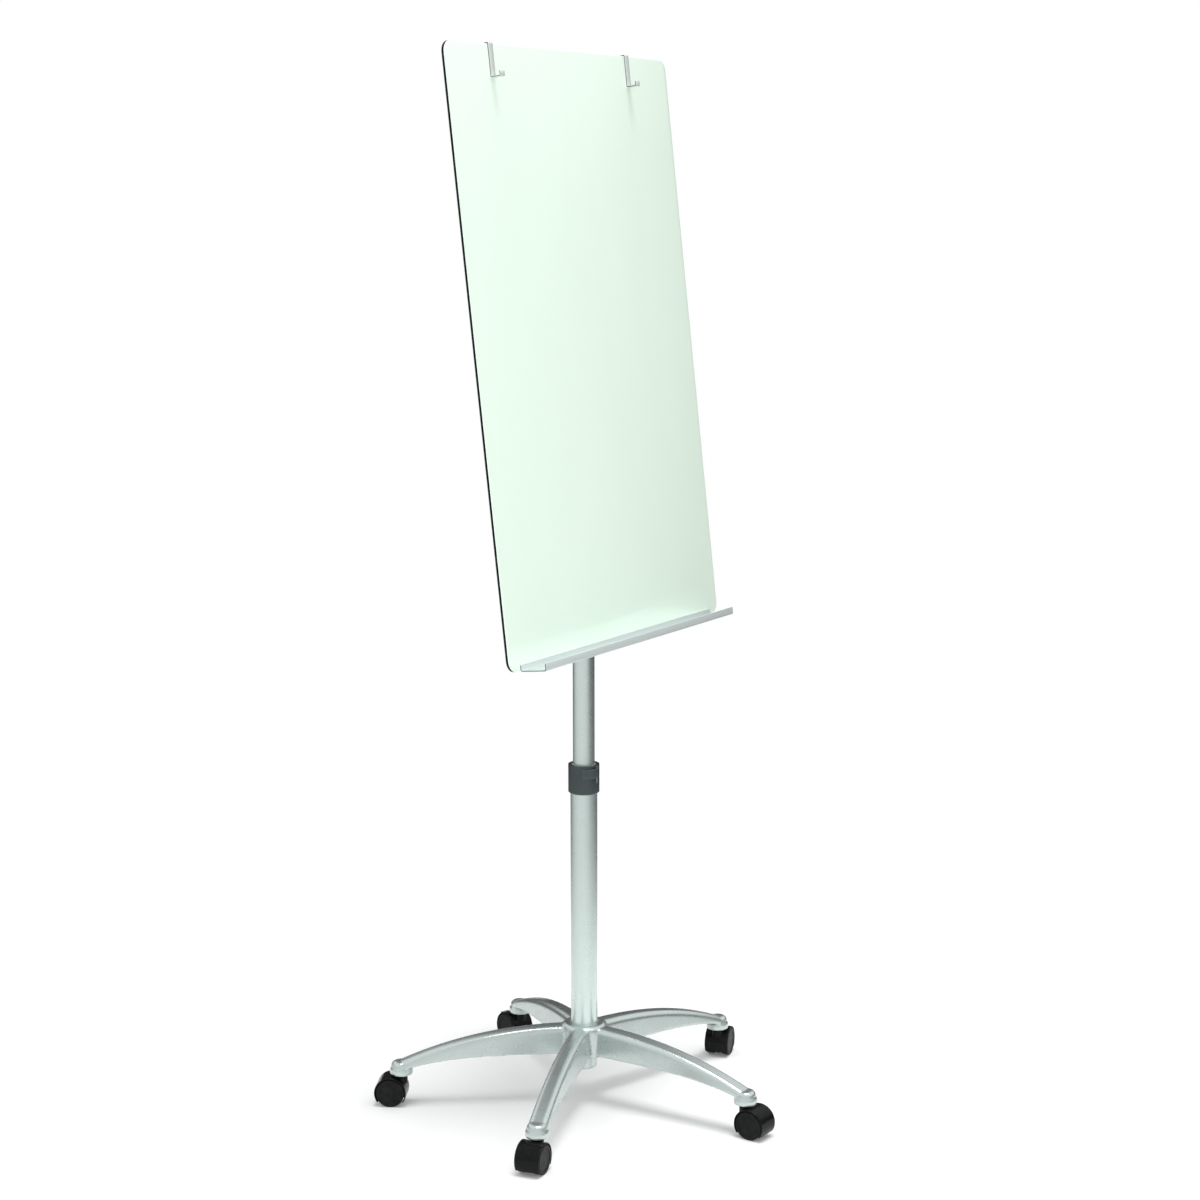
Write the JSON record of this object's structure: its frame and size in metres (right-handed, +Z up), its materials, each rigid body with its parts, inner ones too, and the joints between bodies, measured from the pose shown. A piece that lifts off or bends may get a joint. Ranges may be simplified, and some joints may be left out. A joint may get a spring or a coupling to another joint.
{
  "type": "rolling whiteboard",
  "caption": "Tall glass writing board that tilts on a telescopic column with a clamp collar, on a five-star rolling base, with a pen tray and pad hooks.",
  "frame": {"origin": "on the floor, under the axis of the column", "axes": "+Z up; the board's writing face looks towards -Y, and +X is to the right of a person facing it"},
  "size_m": [0.7219, 0.6891, 1.8358],
  "materials": {
    "glass": "polished, white behind, faint green",
    "back_panel": "satin black powder coat",
    "rails": "satin anodised",
    "bracket": "satin black powder coat",
    "steel": "zinc plated",
    "casting": "satin silver paint",
    "tube": "satin anodised",
    "collar": "fine moulded texture",
    "bush": "moulded natural nylon",
    "knob": "fine moulded texture",
    "brass": "turned",
    "tray": "satin anodised",
    "hook": "bright nickel plated",
    "caster_black": "glossy black nylon",
    "wheel_black": "satin black nylon"
  },
  "bodies": {
    "base": {"base_casting": "casting", "hub_washer": "steel", "hub_bolt": "steel", "tube_plug": "steel", "stem_sleeves": "steel", "caster_stems": "steel", "lower_tube": "tube", "collar_body": "collar", "collar_pin": "steel", "collar_bush": "bush"},
    "mast": {"upper_tube": "tube", "glide_bush": "bush", "mast_head": "casting", "head_pin": "steel"},
    "board": {"glass_panel": "glass", "back_panel": "back_panel", "side_rails": "rails", "cross_rails": "rails", "tilt_bracket": "bracket", "bracket_screws": "steel", "tilt_bolt": "steel", "friction_washers": "bush", "knob_washer": "steel", "tray": "tray", "tray_brackets": "bracket", "tray_screws": "steel"},
    "tilt_knob": {"tilt_knob": "knob", "knob_insert": "brass"},
    "clamp_lever": {"clamp_lever": "collar"},
    "hook_left": {"hook_left": "hook"},
    "hook_right": {"hook_right": "hook"},
    "rear_right_caster": {"rear_right_caster_hood": "caster_black", "rear_right_caster_axle": "steel"},
    "rear_right_wheel_a": {"rear_right_caster_wheel_a": "wheel_black"},
    "rear_right_wheel_b": {"rear_right_caster_wheel_b": "wheel_black"},
    "rear_right_brake": {"rear_right_caster_brake": "caster_black"},
    "rear_left_caster": {"rear_left_caster_hood": "caster_black", "rear_left_caster_axle": "steel"},
    "rear_left_wheel_a": {"rear_left_caster_wheel_a": "wheel_black"},
    "rear_left_wheel_b": {"rear_left_caster_wheel_b": "wheel_black"},
    "left_caster": {"left_caster_hood": "caster_black", "left_caster_axle": "steel"},
    "left_wheel_a": {"left_caster_wheel_a": "wheel_black"},
    "left_wheel_b": {"left_caster_wheel_b": "wheel_black"},
    "front_caster": {"front_caster_hood": "caster_black", "front_caster_axle": "steel"},
    "front_wheel_a": {"front_caster_wheel_a": "wheel_black"},
    "front_wheel_b": {"front_caster_wheel_b": "wheel_black"},
    "right_caster": {"right_caster_hood": "caster_black", "right_caster_axle": "steel"},
    "right_wheel_a": {"right_caster_wheel_a": "wheel_black"},
    "right_wheel_b": {"right_caster_wheel_b": "wheel_black"},
    "right_brake": {"right_caster_brake": "caster_black"}
  },
  "joints": [
    {"name": "column_height", "type": "slide", "parent": "base", "child": "mast", "axis": [0, 0, 1], "range_m": [-0.2, 0.1]},
    {"name": "clamp_release", "type": "hinge", "parent": "base", "child": "clamp_lever", "pos_m": [0, -0.0265, 0.6025], "axis": [0, 0, 1], "range_deg": [0, 85]},
    {"name": "board_tilt", "type": "hinge", "parent": "mast", "child": "board", "pos_m": [0, 0, 1.2], "axis": [-1, 0, 0], "range_deg": [-6.7, 23.3]},
    {"name": "tilt_knob_turn", "type": "hinge", "parent": "board", "child": "tilt_knob", "pos_m": [0.035, 0, 1.2], "axis": [1, 0, 0], "continuous": true},
    {"name": "hook_left_slide", "type": "slide", "parent": "board", "child": "hook_left", "axis": [1, 0, 0], "range_m": [-0.06, 0.06]},
    {"name": "hook_right_slide", "type": "slide", "parent": "board", "child": "hook_right", "axis": [1, 0, 0], "range_m": [-0.06, 0.06]},
    {"name": "rear_right_caster_swivel", "type": "hinge", "parent": "base", "child": "rear_right_caster", "pos_m": [0.19162, 0.26374, 0.045], "axis": [0, 0, 1], "continuous": true},
    {"name": "rear_right_wheel_a_roll", "type": "hinge", "parent": "rear_right_caster", "child": "rear_right_wheel_a", "pos_m": [0.19777, 0.28065, 0.025], "axis": [-0.9397, 0.342, 0], "continuous": true},
    {"name": "rear_right_wheel_b_roll", "type": "hinge", "parent": "rear_right_caster", "child": "rear_right_wheel_b", "pos_m": [0.19777, 0.28065, 0.025], "axis": [-0.9397, 0.342, 0], "continuous": true},
    {"name": "rear_right_brake_press", "type": "hinge", "parent": "rear_right_caster", "child": "rear_right_brake", "pos_m": [0.20291, 0.29475, 0.039], "axis": [-0.9397, 0.342, 0], "range_deg": [0, 16]},
    {"name": "rear_left_caster_swivel", "type": "hinge", "parent": "base", "child": "rear_left_caster", "pos_m": [-0.19162, 0.26374, 0.045], "axis": [0, 0, 1], "continuous": true},
    {"name": "rear_left_wheel_a_roll", "type": "hinge", "parent": "rear_left_caster", "child": "rear_left_wheel_a", "pos_m": [-0.19993, 0.27971, 0.025], "axis": [-0.887, -0.4617, 0], "continuous": true},
    {"name": "rear_left_wheel_b_roll", "type": "hinge", "parent": "rear_left_caster", "child": "rear_left_wheel_b", "pos_m": [-0.19993, 0.27971, 0.025], "axis": [-0.887, -0.4617, 0], "continuous": true},
    {"name": "left_caster_swivel", "type": "hinge", "parent": "base", "child": "left_caster", "pos_m": [-0.31004, -0.10074, 0.045], "axis": [0, 0, 1], "continuous": true},
    {"name": "left_wheel_a_roll", "type": "hinge", "parent": "left_caster", "child": "left_wheel_a", "pos_m": [-0.32782, -0.10355, 0.025], "axis": [0.1564, -0.9877, 0], "continuous": true},
    {"name": "left_wheel_b_roll", "type": "hinge", "parent": "left_caster", "child": "left_wheel_b", "pos_m": [-0.32782, -0.10355, 0.025], "axis": [0.1564, -0.9877, 0], "continuous": true},
    {"name": "front_caster_swivel", "type": "hinge", "parent": "base", "child": "front_caster", "pos_m": [0, -0.326, 0.045], "axis": [0, 0, 1], "continuous": true},
    {"name": "front_wheel_a_roll", "type": "hinge", "parent": "front_caster", "child": "front_wheel_a", "pos_m": [-0.0011, -0.34397, 0.025], "axis": [0.9981, -0.061, 0], "continuous": true},
    {"name": "front_wheel_b_roll", "type": "hinge", "parent": "front_caster", "child": "front_wheel_b", "pos_m": [-0.0011, -0.34397, 0.025], "axis": [0.9981, -0.061, 0], "continuous": true},
    {"name": "right_caster_swivel", "type": "hinge", "parent": "base", "child": "right_caster", "pos_m": [0.31004, -0.10074, 0.045], "axis": [0, 0, 1], "continuous": true},
    {"name": "right_wheel_a_roll", "type": "hinge", "parent": "right_caster", "child": "right_wheel_a", "pos_m": [0.32755, -0.09654, 0.025], "axis": [-0.2334, 0.9724, 0], "continuous": true},
    {"name": "right_wheel_b_roll", "type": "hinge", "parent": "right_caster", "child": "right_wheel_b", "pos_m": [0.32755, -0.09654, 0.025], "axis": [-0.2334, 0.9724, 0], "continuous": true},
    {"name": "right_brake_press", "type": "hinge", "parent": "right_caster", "child": "right_brake", "pos_m": [0.34213, -0.09304, 0.039], "axis": [-0.2334, 0.9724, 0], "range_deg": [0, 16]}
  ]
}
